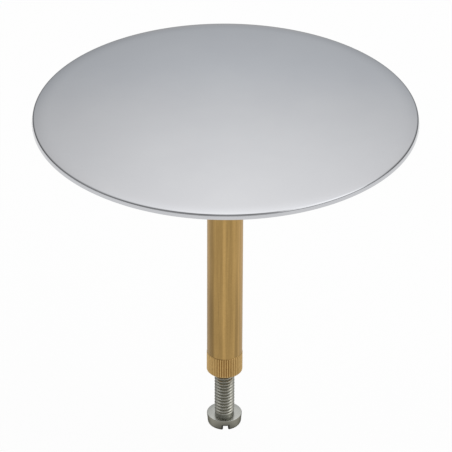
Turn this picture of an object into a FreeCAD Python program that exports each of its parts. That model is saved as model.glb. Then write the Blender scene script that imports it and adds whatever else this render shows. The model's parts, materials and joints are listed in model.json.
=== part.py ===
"""Pop-up drain stopper for a bath: a crowned chrome plate on an adjustable brass stem.

The stem's axis is Z, pointing up. Z = 0 is the sealing land, the plane of the drain's valve seat.
All sizes are millimetres and degrees.
"""
import FreeCAD
import Part
import math
import os

# Cover plate: a pressed, polished and chromed disc
PLATE_DIAMETER = 72.0
PLATE_THICKNESS = 1.0
PLATE_CROWN = 1.0
PLATE_EDGE_BREAK = 0.3
PLATE_SEAT_MARGIN = 0.5
RIM_ABOVE_SEAT = 4.0

# Stud welded under the middle of the plate, which the stem screws on to
STUD_THREAD_DIAMETER = 3.9
STUD_LENGTH = 10.0
STUD_TIP_CHAMFER = 0.5
STUD_FLANGE_DIAMETER = 5.5
STUD_FLANGE_THICKNESS = 0.8

# Rubber profile ring that closes the drain
SEAL_OUTER_DIAMETER = 48.0
SEAL_LIP_WIDTH = 3.0
SEAL_LIP_HEIGHT = 0.8
SEAL_LIP_CHAMFER = 0.35
SEAL_LAND_WIDTH = 1.6
SEAL_BEAD_DEPTH = 2.0

# Moulded carrier that holds the ring under the plate
CARRIER_ABOVE_SEAT = 0.5
CARRIER_FLANGE_THICKNESS = 1.0
CARRIER_FLANGE_OVERHANG = 1.0
CARRIER_WEB_THICKNESS = 1.2
CARRIER_WALL = 1.6
CARRIER_HUB_DIAMETER = 14.0
CARRIER_RIB_COUNT = 6
CARRIER_RIB_THICKNESS = 1.2
CARRIER_RIB_HEIGHT = 1.4
CARRIER_PLATE_GAP = 0.3

# Brass stem, drawn rod drilled and tapped at both ends
STEM_DIAMETER = 6.85
STEM_LENGTH = 48.1
STEM_CHAMFER = 0.2

# Knurled lock nut, a touch wider over its crests than the stem
NUT_DIAMETER = 6.95
NUT_HEIGHT = 4.4
NUT_CHAMFER = 0.3
NUT_COUNTERSINK = 0.3
KNURL_PITCH = 0.485
KNURL_DEPTH = 0.2

# Slotted cheese-head adjusting screw, M4 x 25
SCREW_THREAD_DIAMETER = 3.9
SCREW_LENGTH = 25.0
SCREW_TIP_CHAMFER = 0.5
SCREW_NECK = 0.1
SCREW_HEAD_DIAMETER = 6.85
SCREW_HEAD_HEIGHT = 2.4
SCREW_HEAD_TAPER = 5.0
SCREW_HEAD_EDGE_RADIUS = 0.7
SCREW_SLOT_WIDTH = 1.2
SCREW_SLOT_DEPTH = 1.25
SCREW_SLOT_TURN = 3.0

# How the stopper is set: thread showing below the nut, and how far the screw still goes in
THREAD_SHOWING = 10.0
SCREW_TRAVEL_IN = 6.2

# Fits
THREAD_CLEARANCE = 0.05
HOLE_CLEARANCE = 0.15
SEAL_CLEARANCE = 0.05
TIP_CLEARANCE = 1.0
DRILL_POINT_ANGLE = 118.0

# Radii that several pieces share
PLATE_RADIUS = PLATE_DIAMETER / 2
CROWN_RADIUS = (PLATE_RADIUS**2 + PLATE_CROWN**2) / (2 * PLATE_CROWN)
STUD_RADIUS = STUD_THREAD_DIAMETER / 2
STUD_FLANGE_RADIUS = STUD_FLANGE_DIAMETER / 2
HUB_RADIUS = CARRIER_HUB_DIAMETER / 2
SEAL_RADIUS = SEAL_OUTER_DIAMETER / 2
LOWER_FLANGE_RADIUS = SEAL_RADIUS - SEAL_LIP_WIDTH
UPPER_FLANGE_RADIUS = LOWER_FLANGE_RADIUS + CARRIER_FLANGE_OVERHANG
GROOVE_RADIUS = LOWER_FLANGE_RADIUS - SEAL_BEAD_DEPTH
STEM_RADIUS = STEM_DIAMETER / 2
NUT_RADIUS = NUT_DIAMETER / 2
SCREW_RADIUS = SCREW_THREAD_DIAMETER / 2
SCREW_HOLE_RADIUS = SCREW_RADIUS + THREAD_CLEARANCE


def underside(radius):
    """Height of the plate's crowned underside at a distance from the axis."""
    rise = math.sqrt(CROWN_RADIUS**2 - radius**2) - math.sqrt(CROWN_RADIUS**2 - PLATE_RADIUS**2)
    return RIM_ABOVE_SEAT + rise


# Levels that several pieces share, from the plate down
PLATE_SEAT = underside(HUB_RADIUS + PLATE_SEAT_MARGIN)
STUD_FLANGE_BOTTOM = PLATE_SEAT - STUD_FLANGE_THICKNESS
STUD_TIP = STUD_FLANGE_BOTTOM - STUD_LENGTH
GROOVE_TOP = underside(UPPER_FLANGE_RADIUS) - CARRIER_PLATE_GAP - CARRIER_WEB_THICKNESS
GROOVE_BOTTOM = CARRIER_ABOVE_SEAT + CARRIER_FLANGE_THICKNESS
STEM_TOP = CARRIER_ABOVE_SEAT
STEM_BOTTOM = STEM_TOP - STEM_LENGTH
NUT_BOTTOM = STEM_BOTTOM - NUT_HEIGHT
HEAD_TOP = NUT_BOTTOM - THREAD_SHOWING
HEAD_BOTTOM = HEAD_TOP - SCREW_HEAD_HEIGHT
SCREW_TIP = HEAD_TOP + SCREW_LENGTH

CENTRE = FreeCAD.Vector(0, 0, 0)
UP = FreeCAD.Vector(0, 0, 1)
ACROSS = FreeCAD.Vector(-1, 0, 0)


def turned(*outline):
    """Solid turned about the stem's axis, from the corners of its outline as (radius, height)."""
    corners = [FreeCAD.Vector(radius, 0, height) for radius, height in outline]
    return Part.Face(Part.makePolygon(corners + corners[:1])).revolve(CENTRE, UP, 360)


def round_the_axis(shape, count):
    """Copies of a shape, evenly spaced round the stem's axis."""
    copies = []
    for number in range(count):
        copy = shape.copy()
        copy.rotate(CENTRE, UP, number * 360 / count)
        copies.append(copy)
    return copies


def rims(solid, radius, height):
    """The circular edges of a solid at a radius and a height."""
    found = []
    for edge in solid.Edges:
        if edge.Degenerated or not isinstance(edge.Curve, Part.Circle):
            continue
        if abs(edge.Curve.Radius - radius) < 1e-6 and abs(edge.Curve.Center.z - height) < 1e-6:
            found.append(edge)
    return found


def crown_ball(lift):
    """The ball that the plate's underside is part of, raised by lift, with its seam on the far side."""
    middle = FreeCAD.Vector(0, 0, RIM_ABOVE_SEAT + PLATE_CROWN - CROWN_RADIUS + lift)
    return Part.makeSphere(CROWN_RADIUS, middle, ACROSS)


def blind_hole(radius, mouth, depth, direction):
    """Drilled blind hole with its conical point; direction is -1 for a hole that goes down."""
    point = radius / math.tan(math.radians(DRILL_POINT_ANGLE / 2))
    end = mouth + direction * depth
    return turned((0, mouth), (radius, mouth), (radius, end), (0, end + direction * point))


def cover_plate():
    """Crowned disc of even thickness with a broken top edge, flat below where stud and hub seat."""
    edge = RIM_ABOVE_SEAT + PLATE_THICKNESS - PLATE_EDGE_BREAK
    bevel = PLATE_CROWN + 2 * PLATE_EDGE_BREAK
    blank = turned(
        (0, RIM_ABOVE_SEAT),
        (PLATE_RADIUS, RIM_ABOVE_SEAT),
        (PLATE_RADIUS, edge),
        (PLATE_RADIUS - bevel, edge + bevel),
        (0, edge + bevel),
    )
    low = FreeCAD.Vector(0, 0, PLATE_SEAT - PLATE_DIAMETER)
    below_seat = Part.makeCylinder(PLATE_DIAMETER, PLATE_DIAMETER, low)
    hollow = crown_ball(0).common(below_seat)
    return blank.common(crown_ball(PLATE_THICKNESS)).cut(hollow)


def plate_stud():
    """Weld stud: a low flange on the plate's flat, and a threaded shank with a chamfered tip."""
    return turned(
        (0, PLATE_SEAT),
        (STUD_FLANGE_RADIUS, PLATE_SEAT),
        (STUD_FLANGE_RADIUS, STUD_FLANGE_BOTTOM),
        (STUD_RADIUS, STUD_FLANGE_BOTTOM),
        (STUD_RADIUS, STUD_TIP + STUD_TIP_CHAMFER),
        (STUD_RADIUS - STUD_TIP_CHAMFER, STUD_TIP),
        (0, STUD_TIP),
    )


def seal_carrier():
    """Ribbed disc with a groove round its rim; its hub is clamped between the plate and the stem."""
    bore = STUD_RADIUS + HOLE_CLEARANCE
    pocket = STUD_FLANGE_RADIUS + HOLE_CLEARANCE
    pocket_floor = STUD_FLANGE_BOTTOM - HOLE_CLEARANCE
    wall = GROOVE_RADIUS - CARRIER_WALL
    web_top = GROOVE_TOP + CARRIER_WEB_THICKNESS
    disc = turned(
        (pocket, PLATE_SEAT),
        (HUB_RADIUS, PLATE_SEAT),
        (HUB_RADIUS, web_top),
        (UPPER_FLANGE_RADIUS, web_top),
        (UPPER_FLANGE_RADIUS, GROOVE_TOP),
        (GROOVE_RADIUS, GROOVE_TOP),
        (GROOVE_RADIUS, GROOVE_BOTTOM),
        (LOWER_FLANGE_RADIUS, GROOVE_BOTTOM),
        (LOWER_FLANGE_RADIUS, CARRIER_ABOVE_SEAT),
        (wall, CARRIER_ABOVE_SEAT),
        (wall, GROOVE_TOP),
        (HUB_RADIUS, GROOVE_TOP),
        (HUB_RADIUS, CARRIER_ABOVE_SEAT),
        (bore, CARRIER_ABOVE_SEAT),
        (bore, pocket_floor),
        (pocket, pocket_floor),
    )
    inner_end = (bore + HUB_RADIUS) / 2
    outer_end = (wall + GROOVE_RADIUS) / 2
    corner = FreeCAD.Vector(inner_end, -CARRIER_RIB_THICKNESS / 2, GROOVE_TOP - CARRIER_RIB_HEIGHT)
    height = CARRIER_RIB_HEIGHT + CARRIER_WEB_THICKNESS / 2
    rib = Part.makeBox(outer_end - inner_end, CARRIER_RIB_THICKNESS, height, corner)
    return disc.fuse(round_the_axis(rib, CARRIER_RIB_COUNT)).removeSplitter()


def seal_ring():
    """Profile ring: a bead snapped into the carrier's groove, and a lip that ends in a flat land."""
    land_outer = SEAL_RADIUS - SEAL_LIP_CHAMFER
    bead_top = GROOVE_TOP - SEAL_CLEARANCE
    bead_bottom = GROOVE_BOTTOM + SEAL_CLEARANCE
    bead_inner = GROOVE_RADIUS + SEAL_CLEARANCE
    lip_inner = LOWER_FLANGE_RADIUS + SEAL_CLEARANCE
    return turned(
        (bead_inner, bead_bottom),
        (bead_inner, bead_top),
        (UPPER_FLANGE_RADIUS, bead_top),
        (SEAL_RADIUS, SEAL_LIP_HEIGHT),
        (SEAL_RADIUS, SEAL_LIP_CHAMFER),
        (land_outer, 0),
        (land_outer - SEAL_LAND_WIDTH, 0),
        (lip_inner, CARRIER_ABOVE_SEAT),
        (lip_inner, bead_bottom),
    )


def stem():
    """Round rod with chamfered ends, drilled for the stud at the top and for the screw below."""
    rod = turned(
        (0, STEM_TOP),
        (STEM_RADIUS - STEM_CHAMFER, STEM_TOP),
        (STEM_RADIUS, STEM_TOP - STEM_CHAMFER),
        (STEM_RADIUS, STEM_BOTTOM + STEM_CHAMFER),
        (STEM_RADIUS - STEM_CHAMFER, STEM_BOTTOM),
        (0, STEM_BOTTOM),
    )
    stud_depth = STEM_TOP - STUD_TIP + TIP_CLEARANCE
    screw_depth = SCREW_TIP + SCREW_TRAVEL_IN + TIP_CLEARANCE - STEM_BOTTOM
    stud_hole = blind_hole(STUD_RADIUS + THREAD_CLEARANCE, STEM_TOP, stud_depth, -1)
    screw_hole = blind_hole(SCREW_HOLE_RADIUS, STEM_BOTTOM, screw_depth, 1)
    return rod.cut([stud_hole, screw_hole])


def lock_nut():
    """Round nut with chamfered rims and countersunk thread, straight-knurled all round."""
    sink = SCREW_HOLE_RADIUS + NUT_COUNTERSINK
    blank = turned(
        (sink, STEM_BOTTOM),
        (NUT_RADIUS - NUT_CHAMFER, STEM_BOTTOM),
        (NUT_RADIUS, STEM_BOTTOM - NUT_CHAMFER),
        (NUT_RADIUS, NUT_BOTTOM + NUT_CHAMFER),
        (NUT_RADIUS - NUT_CHAMFER, NUT_BOTTOM),
        (sink, NUT_BOTTOM),
        (SCREW_HOLE_RADIUS, NUT_BOTTOM + NUT_COUNTERSINK),
        (SCREW_HOLE_RADIUS, STEM_BOTTOM - NUT_COUNTERSINK),
    )
    teeth = round(math.pi * NUT_DIAMETER / KNURL_PITCH)
    # the groove is a tooth pitch wide at the nut's outside, and its flanks go on as far again
    tooth_pitch = math.pi * NUT_DIAMETER / teeth
    mouth = NUT_RADIUS + KNURL_DEPTH
    corners = [
        FreeCAD.Vector(NUT_RADIUS - KNURL_DEPTH, 0, NUT_BOTTOM),
        FreeCAD.Vector(mouth, tooth_pitch, NUT_BOTTOM),
        FreeCAD.Vector(mouth, -tooth_pitch, NUT_BOTTOM),
    ]
    groove = Part.Face(Part.makePolygon(corners + corners[:1])).extrude(UP * NUT_HEIGHT)
    return blank.cut(round_the_axis(groove, teeth))


def adjusting_screw():
    """Cheese-head screw, head down, with a driver slot across the head."""
    head = SCREW_HEAD_DIAMETER / 2
    face = head - SCREW_HEAD_HEIGHT * math.tan(math.radians(SCREW_HEAD_TAPER))
    blank = turned(
        (0, SCREW_TIP),
        (SCREW_RADIUS - SCREW_TIP_CHAMFER, SCREW_TIP),
        (SCREW_RADIUS, SCREW_TIP - SCREW_TIP_CHAMFER),
        (SCREW_RADIUS, HEAD_TOP + SCREW_NECK),
        (SCREW_RADIUS + SCREW_NECK, HEAD_TOP),
        (head, HEAD_TOP),
        (face, HEAD_BOTTOM),
        (0, HEAD_BOTTOM),
    )
    blank = blank.makeFillet(SCREW_HEAD_EDGE_RADIUS, rims(blank, face, HEAD_BOTTOM))
    corner = FreeCAD.Vector(-SCREW_SLOT_WIDTH / 2, -head, HEAD_BOTTOM)
    slot = Part.makeBox(SCREW_SLOT_WIDTH, SCREW_HEAD_DIAMETER, SCREW_SLOT_DEPTH, corner)
    slot.rotate(CENTRE, UP, SCREW_SLOT_TURN)
    return blank.cut(slot)


PIECES = [cover_plate, plate_stud, seal_carrier, seal_ring, stem, lock_nut, adjusting_screw]

os.makedirs("parts", exist_ok=True)
for piece in PIECES:
    shape = piece()
    name = piece.__name__
    shape.exportStep(f"parts/{name}.step")
    print(f"{name}: {len(shape.Solids)} solid, {shape.Volume:.1f} mm3, valid {shape.isValid()}")
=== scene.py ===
"""Looks of the drain stopper: chrome plate, drawn brass stem, knurled lock nut and slotted screw.

Every mesh is in metres, in the CAD's frame: the stem's axis is Z, and Z = 0 is the sealing land.
"""
import json
import math

import bmesh
import bpy
from mathutils import Matrix, Vector


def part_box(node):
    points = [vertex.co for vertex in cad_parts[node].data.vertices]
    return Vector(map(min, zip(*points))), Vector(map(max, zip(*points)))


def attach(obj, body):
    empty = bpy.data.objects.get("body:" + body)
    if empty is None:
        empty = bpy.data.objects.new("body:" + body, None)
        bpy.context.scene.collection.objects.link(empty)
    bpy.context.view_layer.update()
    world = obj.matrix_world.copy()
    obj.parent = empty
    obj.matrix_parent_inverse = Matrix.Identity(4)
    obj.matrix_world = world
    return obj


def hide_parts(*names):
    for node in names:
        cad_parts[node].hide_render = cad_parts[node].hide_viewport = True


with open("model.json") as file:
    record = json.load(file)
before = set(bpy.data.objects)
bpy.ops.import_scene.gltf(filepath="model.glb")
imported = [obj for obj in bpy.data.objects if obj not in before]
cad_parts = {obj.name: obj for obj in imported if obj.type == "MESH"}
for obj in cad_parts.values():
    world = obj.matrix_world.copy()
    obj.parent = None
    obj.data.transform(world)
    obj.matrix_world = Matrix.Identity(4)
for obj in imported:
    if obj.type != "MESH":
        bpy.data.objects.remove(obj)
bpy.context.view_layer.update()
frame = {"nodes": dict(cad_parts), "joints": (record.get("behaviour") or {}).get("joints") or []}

MM = 0.001

# Cover plate
PLATE_THICKNESS = 1.0 * MM
PLATE_WORN_WIDTH = 3.5 * MM
PLATE_WORN_DEPTH = 0.07 * MM
PLATE_EDGE_ROUND = 0.38 * MM
PLATE_RIM_SLOPE = math.radians(10)
PLATE_LOWER_ROUND = 0.1 * MM
PLATE_SEAT_RADIUS = 7.5 * MM

# Painted dark reflection on the plate's rounded edge, by how far the edge leans outwards there,
# and its brighter stretch where it is fainter, by the angle from the front to the right
PLATE_DARK_REFLECTION_LEAN = math.radians(35)
PLATE_DARK_REFLECTION_SPREAD = math.radians(35)
PLATE_DARK_REFLECTION_SHADE = 0.3
PLATE_BRIGHT_MIDDLE = math.radians(33)
PLATE_BRIGHT_HALF = math.radians(13)
PLATE_BRIGHT_FADE = math.radians(12)
PLATE_BRIGHT_DARK_SHARE = 0.3

# Stud under the plate
STUD_FLANGE_THICKNESS = 0.8 * MM

# Seal ring and the carrier that holds it
SEAL_LIP_WIDTH = 3.0 * MM
SEAL_LIP_HEIGHT = 0.8 * MM
SEAL_LIP_CHAMFER = 0.35 * MM
SEAL_LIP_ROUND = 0.25 * MM
SEAL_LAND_WIDTH = 1.6 * MM
SEAL_BEAD_DEPTH = 2.0 * MM
SEAL_CLEARANCE = 0.05 * MM
CARRIER_FLANGE = 1.0 * MM
CARRIER_WEB = 1.2 * MM
CARRIER_WALL = 1.6 * MM
HUB_RADIUS = 7.0 * MM
RIB_COUNT = 6
RIB_THICKNESS = 1.2 * MM
RIB_HEIGHT = 1.4 * MM
RIB_START_SHARE = 0.7
MOULDED_ROUND = 0.2 * MM

# Stem and lock nut
STEM_CHAMFER = 0.08 * MM
NUT_UPPER_CHAMFER = 0.1 * MM
NUT_LOWER_CHAMFER = 0.3 * MM
NUT_COUNTERSINK = 0.3 * MM
KNURL_TEETH = 45
KNURL_DEPTH = 0.15 * MM
KNURL_CREST_SHARE = 0.2
KNURL_ROOT_SHARE = 0.1

# Bands along the stem, partly streaks from the drawing die and partly painted highlights and shade:
# degrees round it from the front, and how bright the brass is
STREAK_AND_SHADE_BANDS = [
    (-180, 1.0), (-120, 0.88), (-75, 1.11), (-62, 1.08), (-54, 0.81), (-42, 0.77), (-37, 1.0), (-10, 0.95),
    (-5, 1.23), (1, 1.3), (5, 1.02), (20, 0.95), (30, 1.16), (34, 1.18), (38, 1.03), (46, 1.08), (50, 1.37),
    (55, 1.15), (85, 1.23), (125, 0.9), (180, 1.0),
]

# The same for where the stem is darker on both flanks, and the heights above its end where that begins and is
# complete
LOWER_FLANK_BANDS = [(-39.6, 0.79), (-32.4, 1.0), (28.8, 1.0), (37.8, 0.78), (46.8, 0.79), (52.2, 0.88)]
LOWER_DARKENING_START = 21.6 * MM
LOWER_DARKENING_FULL = 5.6 * MM

# Adjusting screw, M4 x 25
SCREW_LENGTH = 25.0 * MM
THREAD_PITCH = 0.7 * MM
THREAD_RADIUS = 1.95 * MM
THREAD_CORE_RADIUS = 1.55 * MM
THREAD_BLANK_RADIUS = 1.85 * MM
THREAD_RUN_OUT = 0.6 * MM
THREAD_STEPS = 72
THREAD_PROFILE_STEPS = 16
TIP_CHAMFER = 0.5 * MM
NECK_HEIGHT = 0.25 * MM
HEAD_TAPER = math.radians(5)
HEAD_EDGE_ROUND = 0.7 * MM
HEAD_RIM_ROUND = 0.12 * MM
SLOT_WIDTH = 0.98 * MM
SLOT_DEPTH = 1.25 * MM
SLOT_FLARE_WIDTH = 0.25 * MM
SLOT_FLARE_HEIGHT = 0.6 * MM
# width of the painted shade beside the slot
SLOT_SHADE_WIDTH = 0.4 * MM
SLOT_TURN = math.radians(4.3)

# Where a flank of the thread starts and ends, in pitches from the middle of the crest
THREAD_FLANK_START = 0.05
THREAD_FLANK_END = 0.45

# Places of the plain faces on the scale of knurl and thread, from 0 on the crests to 1 in the grooves,
# whose darker colours towards the grooves are painted shade
NUT_FACE_GROOVE = 0.3
BEARING_FACE_GROOVE = 0.45
BEARING_FACE_SPREAD = 0.06
HEAD_SIDE_GROOVE = 0.75

# Holes that the threads sit in
HOLE_CLEARANCE = 0.15 * MM
TAPPED_HOLE_RADIUS = 2.0 * MM
HOLE_SPARE_DEPTH = 1.0 * MM
DRILL_POINT_ANGLE = math.radians(118)

# How finely round pieces are divided
ROUND_STEPS = 128
PLATE_STEPS = 320
ARC_STEPS = 5
MERGE_DISTANCE = 0.001 * MM

# Camera, at the photograph's viewing angle
CAMERA_ELEVATION = math.radians(31.6)
CAMERA_ROLL = math.radians(0.243)
CAMERA_DISTANCE = 640.0 * MM
CAMERA_AXIS_BELOW_RIM = 20.73 * MM
CAMERA_AXIS_RIGHT = 0.16 * MM
CAMERA_LENS = 274.5
CAMERA_NEAREST = 10.0 * MM

# Studio: the floor, the key softbox, how much the room dims above the camera, and the share of that behind it
FLOOR_HALF_WIDTH = 4000.0 * MM
FLOOR_SHADOW_REACH = 40.0 * MM
FLOOR_SHADOW_FORWARD = 5.0 * MM
FLOOR_WHITENESS = 0.93
KEY_SIZE = 700.0 * MM
KEY_POWER = 1.2
KEY_PLACE = Vector((580.0, -240.0, 570.0)) * MM
ROOM_DIMMING = 0.6
ROOM_DIMMING_BEHIND = 0.15

# Levels and radii from the frame
plate_low, plate_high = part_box("cover_plate")
stud_low, stud_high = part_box("plate_stud")
carrier_low, carrier_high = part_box("seal_carrier")
seal_low, seal_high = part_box("seal_ring")
stem_low, stem_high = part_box("stem")
nut_low, nut_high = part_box("lock_nut")
screw_low, screw_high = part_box("adjusting_screw")
travel = {joint["name"]: joint["range_m"] for joint in frame["joints"]}

RIM_BOTTOM = plate_low.z
RIM_TOP = RIM_BOTTOM + PLATE_THICKNESS
PLATE_RADIUS = plate_high.y
PLATE_CROWN = plate_high.z - RIM_TOP
CROWN_RADIUS = (PLATE_RADIUS**2 + PLATE_CROWN**2) / (2 * PLATE_CROWN)
STEM_RADIUS = stem_high.y
NUT_RADIUS = nut_high.y
HEAD_RADIUS = screw_high.y
SEAL_RADIUS = seal_high.y
LOWER_FLANGE_RADIUS = SEAL_RADIUS - SEAL_LIP_WIDTH
UPPER_FLANGE_RADIUS = carrier_high.y
GROOVE_RADIUS = LOWER_FLANGE_RADIUS - SEAL_BEAD_DEPTH
GROOVE_TOP = seal_high.z + SEAL_CLEARANCE
GROOVE_BOTTOM = carrier_low.z + CARRIER_FLANGE
HEAD_TOP = screw_high.z - SCREW_LENGTH


def add(tree, kind, inputs=None, stops=(), **settings):
    """Adds a node: inputs gives its sockets a value or another node's output, settings are its properties.

    A colour ramp has its stops as (position, colour) in rising order.
    """
    node = tree.nodes.new(kind)
    for name, value in settings.items():
        setattr(node, name, value)
    for socket, value in (inputs or {}).items():
        if isinstance(value, bpy.types.NodeSocket):
            tree.links.new(value, node.inputs[socket])
        else:
            node.inputs[socket].default_value = value
    for number, (position, colour) in enumerate(stops):
        elements = node.color_ramp.elements
        element = elements[number] if number < len(elements) else elements.new(position)
        element.position = position
        element.color = colour
    return node


def linear(hex_colour):
    """Linear colour with alpha from an sRGB hex value."""
    channels = [int(hex_colour[start:start + 2], 16) / 255 for start in (1, 3, 5)]
    return [c / 12.92 if c <= 0.04045 else ((c + 0.055) / 1.055) ** 2.4 for c in channels] + [1.0]


def grey(level, blue=0.0):
    """Linear grey for a ramp's stop, bluish where blue is above 0 and yellowish where it is below."""
    return (level * (1 - blue), level, level * (1 + blue), 1.0)


def new_object(name, mesh):
    """Puts a mesh into the scene as an object at the origin."""
    piece = bpy.data.objects.new(name, mesh)
    bpy.context.scene.collection.objects.link(piece)
    return piece


def rounded(*corners):
    """Outline through (radius, height, round) corners, with an arc for each corner that has a round."""
    outline = []
    for number, (radius, height, corner_round) in enumerate(corners):
        corner = Vector((radius, height))
        if corner_round == 0:
            outline.append(corner)
            continue
        back = (Vector(corners[number - 1][:2]) - corner).normalized()
        onward = (Vector(corners[(number + 1) % len(corners)][:2]) - corner).normalized()
        half_angle = back.angle(onward) / 2
        reach = corner_round / math.tan(half_angle)
        centre = corner + (back + onward).normalized() * corner_round / math.sin(half_angle)
        first = corner + back * reach - centre
        last = corner + onward * reach - centre
        for step in range(ARC_STEPS + 1):
            outline.append(centre + first.slerp(last, step / ARC_STEPS) * corner_round)
    return outline


def turned(outline, steps=ROUND_STEPS, closed=False):
    """Mesh turned about the stem's axis; a closed outline also joins its end to its start."""
    shape = bmesh.new()
    rings = []
    for radius, height in outline:
        if radius == 0:
            rings.append([shape.verts.new((0, 0, height))] * steps)
            continue
        angles = [2 * math.pi * step / steps for step in range(steps)]
        rings.append([shape.verts.new((radius * math.cos(a), radius * math.sin(a), height)) for a in angles])
    following = rings[1:] + rings[:1] if closed else rings[1:]
    for ring, next_ring in zip(rings, following):
        for step in range(steps):
            corners = [ring[step - 1], ring[step], next_ring[step], next_ring[step - 1]]
            shape.faces.new(dict.fromkeys(corners))
    return shape


def piece_from(name, shape, material, body, sharp_angle=math.radians(40)):
    """Finishes a mesh as a smooth-shaded piece that replaces the CAD node of its name and rides on a body."""
    bmesh.ops.remove_doubles(shape, verts=shape.verts, dist=MERGE_DISTANCE)
    bmesh.ops.recalc_face_normals(shape, faces=shape.faces)
    mesh = bpy.data.meshes.new(name)
    shape.to_mesh(mesh)
    shape.free()
    mesh.shade_smooth()
    mesh.set_sharp_from_angle(angle=sharp_angle)
    mesh.materials.clear()
    mesh.materials.append(material)
    piece = new_object(name + "_looks", mesh)
    even_shading = piece.modifiers.new("even_shading", "WEIGHTED_NORMAL")
    even_shading.keep_sharp = True
    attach(piece, body)
    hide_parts(name)
    return piece


def new_tree(name, takes_geometry, sizes):
    """Geometry node group with named inputs; returns the group and the outputs of its input node."""
    tree = bpy.data.node_groups.new(name, "GeometryNodeTree")
    tree.interface.new_socket("Geometry", in_out="OUTPUT", socket_type="NodeSocketGeometry")
    if takes_geometry:
        tree.interface.new_socket("Geometry", in_out="INPUT", socket_type="NodeSocketGeometry")
    for label, kind in sizes.items():
        tree.interface.new_socket(label, in_out="INPUT", socket_type="NodeSocket" + kind)
    return tree, tree.nodes.new("NodeGroupInput").outputs


def grown(tree, sizes, start=None):
    """Runs a node tree on a mesh, with its named inputs, and gives the result as an edit mesh."""
    holder = new_object(tree.name, start or bpy.data.meshes.new(tree.name))
    modifier = holder.modifiers.new(tree.name, "NODES")
    modifier.node_group = tree
    for item in tree.interface.items_tree:
        if item.in_out == "INPUT" and item.name in sizes:
            modifier[item.identifier] = sizes[item.name]
    depsgraph = bpy.context.evaluated_depsgraph_get()
    result = bpy.data.meshes.new_from_object(
        holder.evaluated_get(depsgraph), preserve_all_data_layers=True, depsgraph=depsgraph
    )
    bpy.data.objects.remove(holder)
    shape = bmesh.new()
    shape.from_mesh(result)
    return shape


def ring_tree():
    """Copies one shape evenly round the stem's axis and joins the copies where they touch."""
    tree, inputs = new_tree("ring_of_copies", True, {"Count": "Int", "Material": "Material"})
    points = add(tree, "GeometryNodePoints", {"Count": inputs["Count"]})
    index = add(tree, "GeometryNodeInputIndex")
    step = add(tree, "ShaderNodeMath", {0: 2 * math.pi, 1: inputs["Count"]}, operation="DIVIDE")
    angle = add(tree, "ShaderNodeMath", {0: index.outputs[0], 1: step.outputs[0]}, operation="MULTIPLY")
    turn = add(tree, "ShaderNodeCombineXYZ", {"Z": angle.outputs[0]})
    copies = add(tree, "GeometryNodeInstanceOnPoints", {
        "Points": points.outputs[0],
        "Instance": inputs["Geometry"],
        "Rotation": turn.outputs[0],
    })
    joined = add(tree, "GeometryNodeRealizeInstances", {"Geometry": copies.outputs[0]})
    merged = add(tree, "GeometryNodeMergeByDistance", {
        "Geometry": joined.outputs[0],
        "Distance": MERGE_DISTANCE,
    })
    painted = add(tree, "GeometryNodeSetMaterial", {
        "Geometry": merged.outputs[0],
        "Material": inputs["Material"],
    })
    add(tree, "NodeGroupOutput", {0: painted.outputs[0]})
    return tree


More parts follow.
